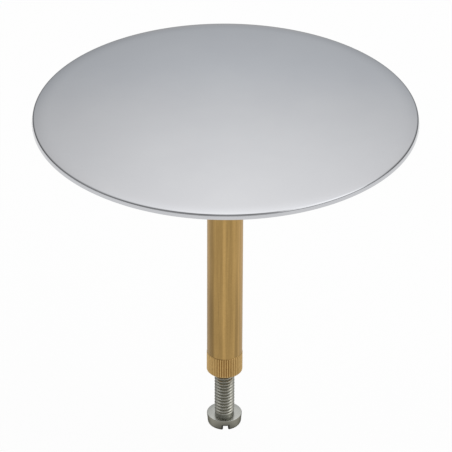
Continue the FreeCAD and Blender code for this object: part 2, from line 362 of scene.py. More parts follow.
def thread_tree():
    """Rolled right-hand thread: a grid one pitch wide, wound up Z turn on turn and trimmed at both ends."""
    sizes = ["Bottom", "Top", "Pitch", "Outside", "Core", "Blank", "Run Out", "Tip Chamfer"]
    kinds = {label: "Float" for label in sizes}
    kinds.update({"Steps": "Int", "Profile Steps": "Int", "Material": "Material"})
    tree, inputs = new_tree("rolled_thread", False, kinds)

    # whole turns that cover the length, with one to spare
    length = add(tree, "ShaderNodeMath", {0: inputs["Top"], 1: inputs["Bottom"]}, operation="SUBTRACT")
    exact = add(tree, "ShaderNodeMath", {0: length.outputs[0], 1: inputs["Pitch"]}, operation="DIVIDE")
    whole = add(tree, "ShaderNodeMath", {0: exact.outputs[0]}, operation="CEIL")
    turns = add(tree, "ShaderNodeMath", {0: whole.outputs[0], 1: 1.0}, operation="ADD")
    rows = add(tree, "ShaderNodeMath", {0: turns.outputs[0], 1: inputs["Steps"], 2: 1.0},
               operation="MULTIPLY_ADD")
    columns = add(tree, "ShaderNodeMath", {0: inputs["Profile Steps"], 1: 1.0}, operation="ADD")
    grid = add(tree, "GeometryNodeMeshGrid", {
        "Size X": 1.0,
        "Size Y": 1.0,
        "Vertices X": columns.outputs[0],
        "Vertices Y": rows.outputs[0],
    })

    # the grid's X goes across one thread, with the crest in the middle, and its Y goes along the turns
    place = add(tree, "ShaderNodeSeparateXYZ", {0: add(tree, "GeometryNodeInputPosition").outputs[0]})
    share = add(tree, "ShaderNodeMath", {0: place.outputs["Y"], 1: 0.5}, operation="ADD")
    along = add(tree, "ShaderNodeMath", {0: share.outputs[0], 1: turns.outputs[0]}, operation="MULTIPLY")
    angle = add(tree, "ShaderNodeMath", {0: along.outputs[0], 1: 2 * math.pi}, operation="MULTIPLY")
    across = add(tree, "ShaderNodeMath", {0: place.outputs["X"], 1: 0.5}, operation="SUBTRACT")
    climb = add(tree, "ShaderNodeMath", {0: along.outputs[0], 1: across.outputs[0]}, operation="ADD")
    rise = add(tree, "ShaderNodeMath", {0: climb.outputs[0], 1: inputs["Pitch"], 2: inputs["Bottom"]},
               operation="MULTIPLY_ADD")
    height = add(tree, "ShaderNodeClamp", {
        "Value": rise.outputs[0],
        "Min": inputs["Bottom"],
        "Max": inputs["Top"],
    })

    # flat crest, straight flanks and narrow root; the thread fades out at the neck and ends in a cone
    off_crest = add(tree, "ShaderNodeMath", {0: place.outputs["X"]}, operation="ABSOLUTE")
    depth = add(tree, "ShaderNodeMapRange", {
        "Value": off_crest.outputs[0],
        "From Min": THREAD_FLANK_START,
        "From Max": THREAD_FLANK_END,
    })
    profile = add(tree, "ShaderNodeMapRange", {
        "Value": depth.outputs[0],
        "To Min": inputs["Outside"],
        "To Max": inputs["Core"],
    })
    full_depth = add(tree, "ShaderNodeMath", {0: inputs["Bottom"], 1: inputs["Run Out"]}, operation="ADD")
    faded = add(tree, "ShaderNodeMapRange", {
        "Value": height.outputs[0],
        "From Min": inputs["Bottom"],
        "From Max": full_depth.outputs[0],
        "To Min": inputs["Blank"],
        "To Max": profile.outputs[0],
    }, interpolation_type="SMOOTHSTEP")
    tip_radius = add(tree, "ShaderNodeMath", {0: inputs["Outside"], 1: inputs["Tip Chamfer"]},
                     operation="SUBTRACT")
    below_tip = add(tree, "ShaderNodeMath", {0: inputs["Top"], 1: height.outputs[0]}, operation="SUBTRACT")
    cone = add(tree, "ShaderNodeMath", {0: tip_radius.outputs[0], 1: below_tip.outputs[0]}, operation="ADD")
    radius = add(tree, "ShaderNodeMath", {0: faded.outputs[0], 1: cone.outputs[0]}, operation="MINIMUM")

    cosine = add(tree, "ShaderNodeMath", {0: angle.outputs[0]}, operation="COSINE")
    sine = add(tree, "ShaderNodeMath", {0: angle.outputs[0]}, operation="SINE")
    x = add(tree, "ShaderNodeMath", {0: radius.outputs[0], 1: cosine.outputs[0]}, operation="MULTIPLY")
    y = add(tree, "ShaderNodeMath", {0: radius.outputs[0], 1: sine.outputs[0]}, operation="MULTIPLY")
    wound_place = add(tree, "ShaderNodeCombineXYZ", {
        "X": x.outputs[0],
        "Y": y.outputs[0],
        "Z": height.outputs[0],
    })
    marked = add(tree, "GeometryNodeStoreNamedAttribute", {
        "Geometry": grid.outputs[0],
        "Name": "groove",
        "Value": depth.outputs[0],
    }, data_type="FLOAT", domain="POINT")
    wound = add(tree, "GeometryNodeSetPosition", {
        "Geometry": marked.outputs[0],
        "Position": wound_place.outputs[0],
    })

    # the flat end of the tip closes the thread
    disc = add(tree, "GeometryNodeMeshCircle", {
        "Vertices": inputs["Steps"],
        "Radius": tip_radius.outputs[0],
    }, fill_type="NGON")
    lift = add(tree, "ShaderNodeCombineXYZ", {"Z": inputs["Top"]})
    end = add(tree, "GeometryNodeTransform", {"Geometry": disc.outputs[0], "Translation": lift.outputs[0]})
    both = add(tree, "GeometryNodeJoinGeometry", {0: wound.outputs[0]})
    tree.links.new(end.outputs[0], both.inputs[0])
    merged = add(tree, "GeometryNodeMergeByDistance", {
        "Geometry": both.outputs[0],
        "Distance": MERGE_DISTANCE,
    })
    joined = add(tree, "GeometryNodeRealizeInstances", {"Geometry": merged.outputs[0]})
    painted = add(tree, "GeometryNodeSetMaterial", {
        "Geometry": joined.outputs[0],
        "Material": inputs["Material"],
    })
    add(tree, "NodeGroupOutput", {0: painted.outputs[0]})
    return tree


def new_material(name):
    """Empty node material with its shader; returns the material, its tree and the shader."""
    material = bpy.data.materials.new(name)
    material.use_nodes = True
    tree = material.node_tree
    tree.nodes.clear()
    shader = add(tree, "ShaderNodeBsdfPrincipled")
    add(tree, "ShaderNodeOutputMaterial", {"Surface": shader.outputs[0]})
    return material, tree, shader


def polished_chrome():
    """Chrome on polished sheet: a soft mirror with faint haze, painted dark reflection on its edge, a satin
    underside.
    """
    material, tree, shader = new_material("polished_chrome_on_sheet")
    shader.inputs["Metallic"].default_value = 1.0
    place = add(tree, "ShaderNodeTexCoord").outputs["Object"]
    haze_size = 9.0 * MM
    haze = add(tree, "ShaderNodeTexNoise", {
        "Vector": place,
        "Scale": 1 / haze_size,
        "Detail": 3.0,
        "Roughness": 0.5,
    })
    scratch_size = 0.6 * MM
    scratches = add(tree, "ShaderNodeTexNoise", {
        "Vector": place,
        "Scale": 1 / scratch_size,
        "Detail": 2.0,
        "Roughness": 0.6,
    })
    tint = add(tree, "ShaderNodeValToRGB", {0: haze.outputs[0]}, stops=[
        (0.0, linear("#C6C7CB")), (1.0, linear("#CCCDD0")),
    ])
    # painted dark reflection on the rounded edge, which darkens the base colour there
    dark_reflection_paint = add(tree, "ShaderNodeAttribute", attribute_name="dark_reflection_paint")
    dark_reflection_shade = add(tree, "ShaderNodeMapRange", {
        "Value": dark_reflection_paint.outputs["Fac"],
        "To Min": 1.0,
        "To Max": PLATE_DARK_REFLECTION_SHADE,
    })
    colour = add(tree, "ShaderNodeMix", {0: 1.0, 6: tint.outputs[0], 7: dark_reflection_shade.outputs[0]},
                 data_type="RGBA", blend_type="MULTIPLY")
    tree.links.new(colour.outputs[2], shader.inputs["Base Color"])
    unpolished = add(tree, "ShaderNodeAttribute", attribute_name="unpolished")
    polished_rough = add(tree, "ShaderNodeMapRange", {
        "Value": scratches.outputs[0],
        "To Min": 0.05,
        "To Max": 0.09,
    })
    roughness = add(tree, "ShaderNodeMapRange", {
        "Value": unpolished.outputs["Fac"],
        "To Min": polished_rough.outputs[0],
        "To Max": 0.34,
    })
    tree.links.new(roughness.outputs[0], shader.inputs["Roughness"])
    return material


def drawn_brass():
    """Brass rod as drawn: die streaks and painted highlights and shade round it, darker lower flanks, fine
    lines along it, brown specks.
    """
    material, tree, shader = new_material("drawn_brass_rod")
    shader.inputs["Metallic"].default_value = 1.0
    shader.inputs["Anisotropic"].default_value = 0.4
    place = add(tree, "ShaderNodeTexCoord").outputs["Object"]
    # die streaks and painted highlights and shade by the angle round the rod, the front in the middle of the
    # ramp
    front_on = add(tree, "ShaderNodeMapping", {"Vector": place, "Rotation": (0, 0, math.pi / 2)})
    angle = add(tree, "ShaderNodeTexGradient", {0: front_on.outputs[0]}, gradient_type="RADIAL")
    streak_and_shade_bands, lower_flank_bands = [
        add(tree, "ShaderNodeValToRGB", {0: angle.outputs[1]}, stops=[
            (degrees / 360 + 0.5, grey(brightness)) for degrees, brightness in table
        ])
        for table in (STREAK_AND_SHADE_BANDS, LOWER_FLANK_BANDS)
    ]
    line_width = 0.3 * MM
    line_length = 10.0 * MM
    across = 1 / line_width
    stretched = add(tree, "ShaderNodeMapping", {"Vector": place, "Scale": (across, across, 1 / line_length)})
    lines = add(tree, "ShaderNodeTexNoise", {
        "Vector": stretched.outputs[0],
        "Scale": 1.0,
        "Detail": 3.0,
        "Roughness": 0.6,
    })
    speck_size = 0.3 * MM
    specks = add(tree, "ShaderNodeTexNoise", {
        "Vector": place,
        "Scale": 1 / speck_size,
        "Detail": 2.0,
        "Roughness": 0.6,
    })
    line_shade = add(tree, "ShaderNodeMapRange", {"Value": lines.outputs[0], "To Min": 0.76, "To Max": 1.24})
    speck_shade = add(tree, "ShaderNodeMapRange", {
        "Value": specks.outputs[0],
        "To Min": 0.88,
        "To Max": 1.12,
    })
    fine_shade = add(tree, "ShaderNodeMath", {0: line_shade.outputs[0], 1: speck_shade.outputs[0]},
                     operation="MULTIPLY")
    shade = add(tree, "ShaderNodeMath", {0: streak_and_shade_bands.outputs[0], 1: fine_shade.outputs[0]}, operation="MULTIPLY")
    colour = add(tree, "ShaderNodeMix", {0: 1.0, 6: linear("#AE8E58"), 7: shade.outputs[0]},
                 data_type="RGBA", blend_type="MULTIPLY")
    # both flanks are darker towards the lower end
    height = add(tree, "ShaderNodeSeparateXYZ", {0: place}).outputs["Z"]
    lower_darkening = add(tree, "ShaderNodeMapRange", {
        "Value": height,
        "From Min": stem_low.z + LOWER_DARKENING_START,
        "From Max": stem_low.z + LOWER_DARKENING_FULL,
    }, interpolation_type="SMOOTHSTEP")
    lowered = add(tree, "ShaderNodeMix", {
        0: lower_darkening.outputs[0],
        6: colour.outputs[2],
        7: lower_flank_bands.outputs[0],
    }, data_type="RGBA", blend_type="MULTIPLY")
    tree.links.new(lowered.outputs[2], shader.inputs["Base Color"])
    roughness = add(tree, "ShaderNodeMapRange", {"Value": lines.outputs[0], "To Min": 0.46, "To Max": 0.32})
    tree.links.new(roughness.outputs[0], shader.inputs["Roughness"])
    relief = add(tree, "ShaderNodeBump", {
        "Height": lines.outputs[0],
        "Strength": 0.2,
        "Distance": 0.02 * MM,
    })
    tree.links.new(relief.outputs[0], shader.inputs["Normal"])
    around = add(tree, "ShaderNodeTangent", direction_type="RADIAL", axis="Z")
    tree.links.new(around.outputs[0], shader.inputs["Tangent"])
    return material


def knurled_brass():
    """Freshly knurled brass: yellow on the crests, with painted shade darkening the grooves."""
    material, tree, shader = new_material("freshly_knurled_brass")
    shader.inputs["Metallic"].default_value = 1.0
    place = add(tree, "ShaderNodeTexCoord").outputs["Object"]
    groove = add(tree, "ShaderNodeAttribute", attribute_name="groove")
    blotch_size = 0.5 * MM
    blotches = add(tree, "ShaderNodeTexNoise", {
        "Vector": place,
        "Scale": 1 / blotch_size,
        "Detail": 3.0,
        "Roughness": 0.55,
    })
    # painted shade: the grooves are darker than the crests
    tint = add(tree, "ShaderNodeValToRGB", {0: groove.outputs["Fac"]}, stops=[
        (0.0, linear("#C9A86F")), (1.0, linear("#A5824D")),
    ])
    shade = add(tree, "ShaderNodeMapRange", {"Value": blotches.outputs[0], "To Min": 0.74, "To Max": 1.22})
    colour = add(tree, "ShaderNodeMix", {0: 1.0, 6: tint.outputs[0], 7: shade.outputs[0]},
                 data_type="RGBA", blend_type="MULTIPLY")
    tree.links.new(colour.outputs[2], shader.inputs["Base Color"])
    roughness = add(tree, "ShaderNodeMapRange", {
        "Value": groove.outputs["Fac"],
        "To Min": 0.24,
        "To Max": 0.42,
    })
    tree.links.new(roughness.outputs[0], shader.inputs["Roughness"])
    return material


def stainless_steel():
    """Stainless screw: rolled crests, painted shade on the roots, head side and slot edges, faint turning
    rings on the head.
    """
    material, tree, shader = new_material("rolled_stainless_steel")
    shader.inputs["Metallic"].default_value = 1.0
    place = add(tree, "ShaderNodeTexCoord").outputs["Object"]
    groove = add(tree, "ShaderNodeAttribute", attribute_name="groove")
    ring_spacing = 0.12 * MM
    ring_length = 6.0 * MM
    turned_rings = add(tree, "ShaderNodeMapping", {
        "Vector": place,
        "Scale": (1 / ring_length, 1 / ring_length, 1 / ring_spacing),
    })
    rings = add(tree, "ShaderNodeTexNoise", {
        "Vector": turned_rings.outputs[0],
        "Scale": 1.0,
        "Detail": 3.0,
        "Roughness": 0.6,
    })
    # rolled steel is a warm grey, and only the turned bearing face is a neutral one; the darker stops towards
    # the roots and the head's side are painted shade
    tint = add(tree, "ShaderNodeValToRGB", {0: groove.outputs["Fac"]}, stops=[
        (0.0, linear("#B5B4AB")),
        (BEARING_FACE_GROOVE - BEARING_FACE_SPREAD, linear("#A7A69C")),
        (BEARING_FACE_GROOVE, linear("#B6B7B2")),
        (BEARING_FACE_GROOVE + BEARING_FACE_SPREAD, linear("#A09E93")),
        (HEAD_SIDE_GROOVE, linear("#9C9A8E")),
        (1.0, linear("#918E80")),
    ])
    ring_shade = add(tree, "ShaderNodeMapRange", {"Value": rings.outputs[0], "To Min": 0.86, "To Max": 1.12})
    # painted shade on both sides of the slot, from its mouth to its top
    along_slot = add(tree, "ShaderNodeMapping", {"Vector": place, "Rotation": (0, 0, -SLOT_TURN)})
    off_slot = add(tree, "ShaderNodeSeparateXYZ", {0: along_slot.outputs[0]})
    sideways = add(tree, "ShaderNodeMath", {0: off_slot.outputs["X"]}, operation="ABSOLUTE")
    unshaded_sideways = add(tree, "ShaderNodeMapRange", {
        "Value": sideways.outputs[0],
        "From Min": SLOT_WIDTH / 2 + SLOT_SHADE_WIDTH / 3,
        "From Max": SLOT_WIDTH / 2 + SLOT_SHADE_WIDTH,
    }, interpolation_type="SMOOTHSTEP")
    unshaded_above = add(tree, "ShaderNodeMapRange", {
        "Value": off_slot.outputs["Z"],
        "From Min": screw_low.z + SLOT_DEPTH,
        "From Max": screw_low.z + SLOT_DEPTH + SLOT_SHADE_WIDTH / 2,
    }, interpolation_type="SMOOTHSTEP")
    unshaded = add(tree, "ShaderNodeMath", {0: unshaded_sideways.outputs[0], 1: unshaded_above.outputs[0]},
                operation="MAXIMUM")
    slot_shade = add(tree, "ShaderNodeMapRange", {"Value": unshaded.outputs[0], "To Min": 0.12, "To Max": 1.0})
    shade = add(tree, "ShaderNodeMath", {0: ring_shade.outputs[0], 1: slot_shade.outputs[0]},
                operation="MULTIPLY")
    colour = add(tree, "ShaderNodeMix", {0: 1.0, 6: tint.outputs[0], 7: shade.outputs[0]},
                 data_type="RGBA", blend_type="MULTIPLY")
    tree.links.new(colour.outputs[2], shader.inputs["Base Color"])
    # painted shade: grazing reflections are dimmer towards the roots and on the head's side
    edge_tint = add(tree, "ShaderNodeValToRGB", {0: groove.outputs["Fac"]}, stops=[
        (0.0, linear("#FFFFFF")), (HEAD_SIDE_GROOVE, linear("#909090")),
    ])
    tree.links.new(edge_tint.outputs[0], shader.inputs["Specular Tint"])
    roughness = add(tree, "ShaderNodeMapRange", {"Value": rings.outputs[0], "To Min": 0.2, "To Max": 0.3})
    tree.links.new(roughness.outputs[0], shader.inputs["Roughness"])
    return material


def plated_steel():
    """Zinc-plated stud: grey with a bluish cast and a fine crystalline mottle."""
    material, tree, shader = new_material("zinc_plated_steel")
    shader.inputs["Metallic"].default_value = 1.0
    place = add(tree, "ShaderNodeTexCoord").outputs["Object"]
    crystal_size = 0.4 * MM
    crystals = add(tree, "ShaderNodeTexVoronoi", {"Vector": place, "Scale": 1 / crystal_size})
    tint = add(tree, "ShaderNodeValToRGB", {0: crystals.outputs["Distance"]}, stops=[
        (0.0, linear("#9A9C9E")), (1.0, linear("#B4B4AE")),
    ])
    tree.links.new(tint.outputs[0], shader.inputs["Base Color"])
    roughness = add(tree, "ShaderNodeMapRange", {
        "Value": crystals.outputs["Distance"],
        "To Min": 0.28,
        "To Max": 0.42,
    })
    tree.links.new(roughness.outputs[0], shader.inputs["Roughness"])
    return material


def moulded_acetal():
    """Moulded acetal: waxy off-white that lets a little light in, with the mould's fine matt grain."""
    material, tree, shader = new_material("matt_moulded_acetal")
    shader.inputs["IOR"].default_value = 1.48
    shader.inputs["Subsurface Weight"].default_value = 0.15
    shader.inputs["Subsurface Radius"].default_value = (1.0, 0.9, 0.7)
    shader.inputs["Subsurface Scale"].default_value = 0.6 * MM
    place = add(tree, "ShaderNodeTexCoord").outputs["Object"]
    flow_size = 8.0 * MM
    flow = add(tree, "ShaderNodeTexNoise", {"Vector": place, "Scale": 1 / flow_size, "Detail": 2.0})
    grain_size = 0.25 * MM
    grain = add(tree, "ShaderNodeTexNoise", {"Vector": place, "Scale": 1 / grain_size, "Detail": 2.0})
    tint = add(tree, "ShaderNodeValToRGB", {0: flow.outputs[0]}, stops=[
        (0.0, linear("#D6D2C6")), (1.0, linear("#DEDBD0")),
    ])
    tree.links.new(tint.outputs[0], shader.inputs["Base Color"])
    roughness = add(tree, "ShaderNodeMapRange", {"Value": grain.outputs[0], "To Min": 0.42, "To Max": 0.55})
    tree.links.new(roughness.outputs[0], shader.inputs["Roughness"])
    relief = add(tree, "ShaderNodeBump", {
        "Height": grain.outputs[0],
        "Strength": 0.2,
        "Distance": 0.02 * MM,
    })
    tree.links.new(relief.outputs[0], shader.inputs["Normal"])
    return material


def black_rubber():
    """Moulded rubber: near black and satin, with a pale bloom in patches and a soft fine grain."""
    material, tree, shader = new_material("moulded_black_rubber")
    shader.inputs["IOR"].default_value = 1.52
    place = add(tree, "ShaderNodeTexCoord").outputs["Object"]
    bloom_size = 5.0 * MM
    bloom = add(tree, "ShaderNodeTexNoise", {"Vector": place, "Scale": 1 / bloom_size, "Detail": 4.0})
    grain_size = 0.2 * MM
    grain = add(tree, "ShaderNodeTexNoise", {"Vector": place, "Scale": 1 / grain_size, "Detail": 2.0})
    tint = add(tree, "ShaderNodeValToRGB", {0: bloom.outputs[0]}, stops=[
        (0.35, linear("#1B1B1B")), (0.75, linear("#2C2C2B")),
    ])
    tree.links.new(tint.outputs[0], shader.inputs["Base Color"])
    roughness = add(tree, "ShaderNodeMapRange", {"Value": bloom.outputs[0], "To Min": 0.45, "To Max": 0.65})
    tree.links.new(roughness.outputs[0], shader.inputs["Roughness"])
    relief = add(tree, "ShaderNodeBump", {
        "Height": grain.outputs[0],
        "Strength": 0.25,
        "Distance": 0.02 * MM,
    })
    tree.links.new(relief.outputs[0], shader.inputs["Normal"])
    return material


def crown(radius):
    """How far the plate's crown rises above its rim at a distance from the axis."""
    return math.sqrt(CROWN_RADIUS**2 - radius**2) - math.sqrt(CROWN_RADIUS**2 - PLATE_RADIUS**2)


def plate_top(radius):
    """Height of the plate's polished top: crowned, and worn down by the polishing wheel towards the edge."""
    lowered = max(0, 1 - (PLATE_RADIUS - radius) / PLATE_WORN_WIDTH)
    return RIM_TOP + crown(radius) - PLATE_WORN_DEPTH * lowered**3


def cover_plate():
    """Crowned plate whose polished top falls off into a rounded edge and a thin upright rim."""
    crown_steps = 40
    worn_steps = 24
    edge_steps = 14
    worn_start = PLATE_RADIUS - PLATE_WORN_WIDTH
    rim_top = PLATE_RADIUS - (PLATE_THICKNESS - PLATE_EDGE_ROUND) * math.tan(PLATE_RIM_SLOPE)
    edge = rim_top - PLATE_EDGE_ROUND * math.cos(PLATE_RIM_SLOPE)
    fall = (plate_top(edge - MERGE_DISTANCE) - plate_top(edge)) / MERGE_DISTANCE
    slope = math.atan(fall)
    worn_end = edge + PLATE_EDGE_ROUND * math.sin(slope)
    radii = [worn_start * step / crown_steps for step in range(crown_steps)]
    radii += [worn_start + (worn_end - worn_start) * step / worn_steps for step in range(worn_steps + 1)]
    outline = [(radius, plate_top(radius)) for radius in radii]
    middle = plate_top(worn_end) - PLATE_EDGE_ROUND * math.cos(slope)
    for step in range(1, edge_steps + 1):
        angle = slope + (math.pi / 2 - PLATE_RIM_SLOPE - slope) * step / edge_steps
        radius = edge + PLATE_EDGE_ROUND * math.sin(angle)
        outline.append((radius, middle + PLATE_EDGE_ROUND * math.cos(angle)))
    for step in range(ARC_STEPS + 1):
        angle = math.pi / 2 * step / ARC_STEPS
        radius = PLATE_RADIUS - PLATE_LOWER_ROUND * (1 - math.cos(angle))
        outline.append((radius, RIM_BOTTOM + PLATE_LOWER_ROUND * (1 - math.sin(angle))))
    inner_rim = outline[-1][0]
    for step in range(1, crown_steps + 1):
        radius = inner_rim + (PLATE_SEAT_RADIUS - inner_rim) * step / crown_steps
        outline.append((radius, RIM_BOTTOM + crown(radius) - crown(inner_rim)))
    outline.append((0, outline[-1][1]))
    shape = turned(outline, PLATE_STEPS)
    unpolished = shape.verts.layers.float.new("unpolished")
    for vertex in shape.verts:
        radius = math.hypot(vertex.co.x, vertex.co.y)
        below = vertex.co.z < RIM_BOTTOM + crown(min(radius, PLATE_RADIUS)) + PLATE_THICKNESS / 4
        vertex[unpolished] = 1.0 if below and radius < inner_rim else 0.0
    # painted dark reflection on the rounded edge, fainter over a bright stretch at the front right
    dark_reflection_paint = shape.verts.layers.float.new("dark_reflection_paint")
    for vertex in shape.verts:
        if vertex.co.z < RIM_BOTTOM + PLATE_THICKNESS / 2:
            continue
        lean = math.atan2(math.hypot(vertex.co.x, vertex.co.y) - edge, vertex.co.z - middle)
        on_line = max(0, 1 - abs(lean - PLATE_DARK_REFLECTION_LEAN) / PLATE_DARK_REFLECTION_SPREAD)
        off_bright = abs(math.atan2(vertex.co.x, -vertex.co.y) - PLATE_BRIGHT_MIDDLE) - PLATE_BRIGHT_HALF
        dark_share = PLATE_BRIGHT_DARK_SHARE + off_bright / PLATE_BRIGHT_FADE * (1 - PLATE_BRIGHT_DARK_SHARE)
        vertex[dark_reflection_paint] = on_line * min(1, max(PLATE_BRIGHT_DARK_SHARE, dark_share))
    return piece_from("cover_plate", shape, polished_chrome(), "stopper")


def stem():
    """Drawn rod with chamfered ends, drilled from both ends with the drill's conical points."""
    point = TAPPED_HOLE_RADIUS / math.tan(DRILL_POINT_ANGLE / 2)
    stud_hole_end = stud_low.z - HOLE_SPARE_DEPTH
    screw_hole_end = screw_high.z - travel["screw_travel"][0] + HOLE_SPARE_DEPTH
    outline = [
        (0, stud_hole_end - point),
        (TAPPED_HOLE_RADIUS, stud_hole_end),
        (TAPPED_HOLE_RADIUS, stem_high.z),
        (STEM_RADIUS - STEM_CHAMFER, stem_high.z),
        (STEM_RADIUS, stem_high.z - STEM_CHAMFER),
        (STEM_RADIUS, stem_low.z + STEM_CHAMFER),
        (STEM_RADIUS - STEM_CHAMFER, stem_low.z),
        (TAPPED_HOLE_RADIUS, stem_low.z),
        (TAPPED_HOLE_RADIUS, screw_hole_end),
        (0, screw_hole_end + point),
    ]
    return piece_from("stem", turned(outline), drawn_brass(), "stopper", sharp_angle=math.radians(30))


def knurl_tooth():
    """One tooth of the nut, from groove to groove, with its share of the end faces and the bore."""
    half_pitch = math.pi / KNURL_TEETH
    sink = TAPPED_HOLE_RADIUS + NUT_COUNTERSINK
    flank_end = 1 - KNURL_ROOT_SHARE
    columns = [(0.0, 0.0), (KNURL_CREST_SHARE, 0.0), (flank_end, 1.0), (1.0, 1.0)]
    columns = [(-share, depth) for share, depth in reversed(columns[1:])] + columns
    shape = bmesh.new()
    groove = shape.verts.layers.float.new("groove")
    rings = []
    for share, depth in columns:
        angle = share * half_pitch
        radius = NUT_RADIUS - depth * KNURL_DEPTH
        upper_rim = min(radius, NUT_RADIUS - NUT_UPPER_CHAMFER)
        lower_rim = min(radius, NUT_RADIUS - NUT_LOWER_CHAMFER)
        outline = [
            (sink, nut_high.z),
            (upper_rim, nut_high.z),
            (radius, nut_high.z - (radius - upper_rim)),
            (radius, nut_low.z + (radius - lower_rim)),
            (lower_rim, nut_low.z),
            (sink, nut_low.z),
            (TAPPED_HOLE_RADIUS, nut_low.z + NUT_COUNTERSINK),
            (TAPPED_HOLE_RADIUS, nut_high.z - NUT_COUNTERSINK),
        ]
        ring = []
        for distance, height in outline:
            vertex = shape.verts.new((distance * math.cos(angle), distance * math.sin(angle), height))
            vertex[groove] = depth if distance == radius else NUT_FACE_GROOVE
            ring.append(vertex)
        rings.append(ring)
    for ring, next_ring in zip(rings, rings[1:]):
        for number in range(len(ring)):
            shape.faces.new([ring[number - 1], ring[number], next_ring[number], next_ring[number - 1]])
    mesh = bpy.data.meshes.new("knurl_tooth")
    shape.to_mesh(mesh)
    shape.free()
    return mesh


def lock_nut(ring):
    """Round nut, straight-knurled all round: one tooth repeated round the axis."""
    brass = knurled_brass()
    shape = grown(ring, {"Count": KNURL_TEETH, "Material": brass}, knurl_tooth())
    return piece_from("lock_nut", shape, brass, "lock_nut", sharp_angle=math.radians(28))


def slot_cutter():
    """Cutter for the driver slot, whose mouth flares a little."""
    half = SLOT_WIDTH / 2
    wide = half + 2 * SLOT_FLARE_WIDTH
    low = screw_low.z
    section = [
        (-wide, low - SLOT_FLARE_HEIGHT),
        (wide, low - SLOT_FLARE_HEIGHT),
        (half, low + SLOT_FLARE_HEIGHT),
        (half, low + SLOT_DEPTH),
        (-half, low + SLOT_DEPTH),
        (-half, low + SLOT_FLARE_HEIGHT),
    ]
    shape = bmesh.new()
    start = shape.faces.new([shape.verts.new((x, -2 * HEAD_RADIUS, z)) for x, z in section])
    extruded = bmesh.ops.extrude_face_region(shape, geom=[start])["geom"]
    moved = [part for part in extruded if isinstance(part, bmesh.types.BMVert)]
    bmesh.ops.translate(shape, verts=moved, vec=(0, 4 * HEAD_RADIUS, 0))
    bmesh.ops.rotate(shape, verts=shape.verts, matrix=Matrix.Rotation(SLOT_TURN, 3, "Z"))
    bmesh.ops.recalc_face_normals(shape, faces=shape.faces)
    mesh = bpy.data.meshes.new("slot_cutter")
    shape.to_mesh(mesh)
    shape.free()
    return new_object("slot_cutter", mesh)


def adjusting_screw(thread):
    """Cheese-head screw, head down: a turned head joined to a rolled thread, with the slot cut across it."""
    steel = stainless_steel()
    neck_top = HEAD_TOP + NECK_HEIGHT
    shape = grown(thread, {
        "Bottom": neck_top,
        "Top": screw_high.z,
        "Pitch": THREAD_PITCH,
        "Outside": THREAD_RADIUS,
        "Core": THREAD_CORE_RADIUS,
        "Blank": THREAD_BLANK_RADIUS,
        "Run Out": THREAD_RUN_OUT,
        "Tip Chamfer": TIP_CHAMFER,
        "Steps": THREAD_STEPS,
        "Profile Steps": THREAD_PROFILE_STEPS,
        "Material": steel,
    })
    face = HEAD_RADIUS - (HEAD_TOP - screw_low.z) * math.tan(HEAD_TAPER)
    outline = rounded(
        (0, screw_low.z, 0),
        (face, screw_low.z, HEAD_EDGE_ROUND),
        (HEAD_RADIUS, HEAD_TOP, HEAD_RIM_ROUND),
        (THREAD_BLANK_RADIUS, HEAD_TOP, 0),
        (THREAD_BLANK_RADIUS, neck_top, 0),
    )
    head = turned(outline, THREAD_STEPS)
    head_mesh = bpy.data.meshes.new("screw_head")
    head.to_mesh(head_mesh)
    head.free()
    shape.from_mesh(head_mesh)
    bmesh.ops.remove_doubles(shape, verts=shape.verts, dist=MERGE_DISTANCE)
    bmesh.ops.recalc_face_normals(shape, faces=shape.faces)
    blank_mesh = bpy.data.meshes.new("screw_blank")
    shape.to_mesh(blank_mesh)
    shape.free()

    blank = new_object("screw_blank", blank_mesh)
    cutter = slot_cutter()
    cut = blank.modifiers.new("slot", "BOOLEAN")
    cut.operation = "DIFFERENCE"
    cut.object = cutter
    depsgraph = bpy.context.evaluated_depsgraph_get()
    slotted = bpy.data.meshes.new_from_object(blank.evaluated_get(depsgraph), depsgraph=depsgraph)
    bpy.data.objects.remove(blank)
    bpy.data.objects.remove(cutter)
    shape = bmesh.new()
    shape.from_mesh(slotted)
    # the bearing face has a colour of its own, and the head's side and slot another, darker one that is
    # painted shade
    groove = shape.verts.layers.float["groove"]
    for vertex in shape.verts:
        if vertex.co.z < HEAD_TOP - HEAD_RIM_ROUND / 2:
            vertex[groove] = HEAD_SIDE_GROOVE
        elif vertex.co.z < HEAD_TOP + MERGE_DISTANCE:
            vertex[groove] = BEARING_FACE_GROOVE
    return piece_from("adjusting_screw", shape, steel, "adjusting_screw")


def carrier_rib():
    """One stiffening rib under the carrier's web, from hub to rim."""
    inner = HUB_RADIUS * RIB_START_SHARE
    outer = GROOVE_RADIUS - CARRIER_WALL / 2
    shape = bmesh.new()
    bmesh.ops.create_cube(shape, size=1.0)
    height = RIB_HEIGHT + CARRIER_WEB / 2
    middle = Vector(((inner + outer) / 2, 0, GROOVE_TOP - RIB_HEIGHT + height / 2))
    bmesh.ops.scale(shape, verts=shape.verts, vec=(outer - inner, RIB_THICKNESS, height))
    bmesh.ops.translate(shape, verts=shape.verts, vec=middle)
    bmesh.ops.bevel(shape, geom=shape.edges[:], offset=MOULDED_ROUND, segments=3, profile=0.5, affect="EDGES")
    mesh = bpy.data.meshes.new("carrier_rib")
    shape.to_mesh(mesh)
    shape.free()
    return mesh


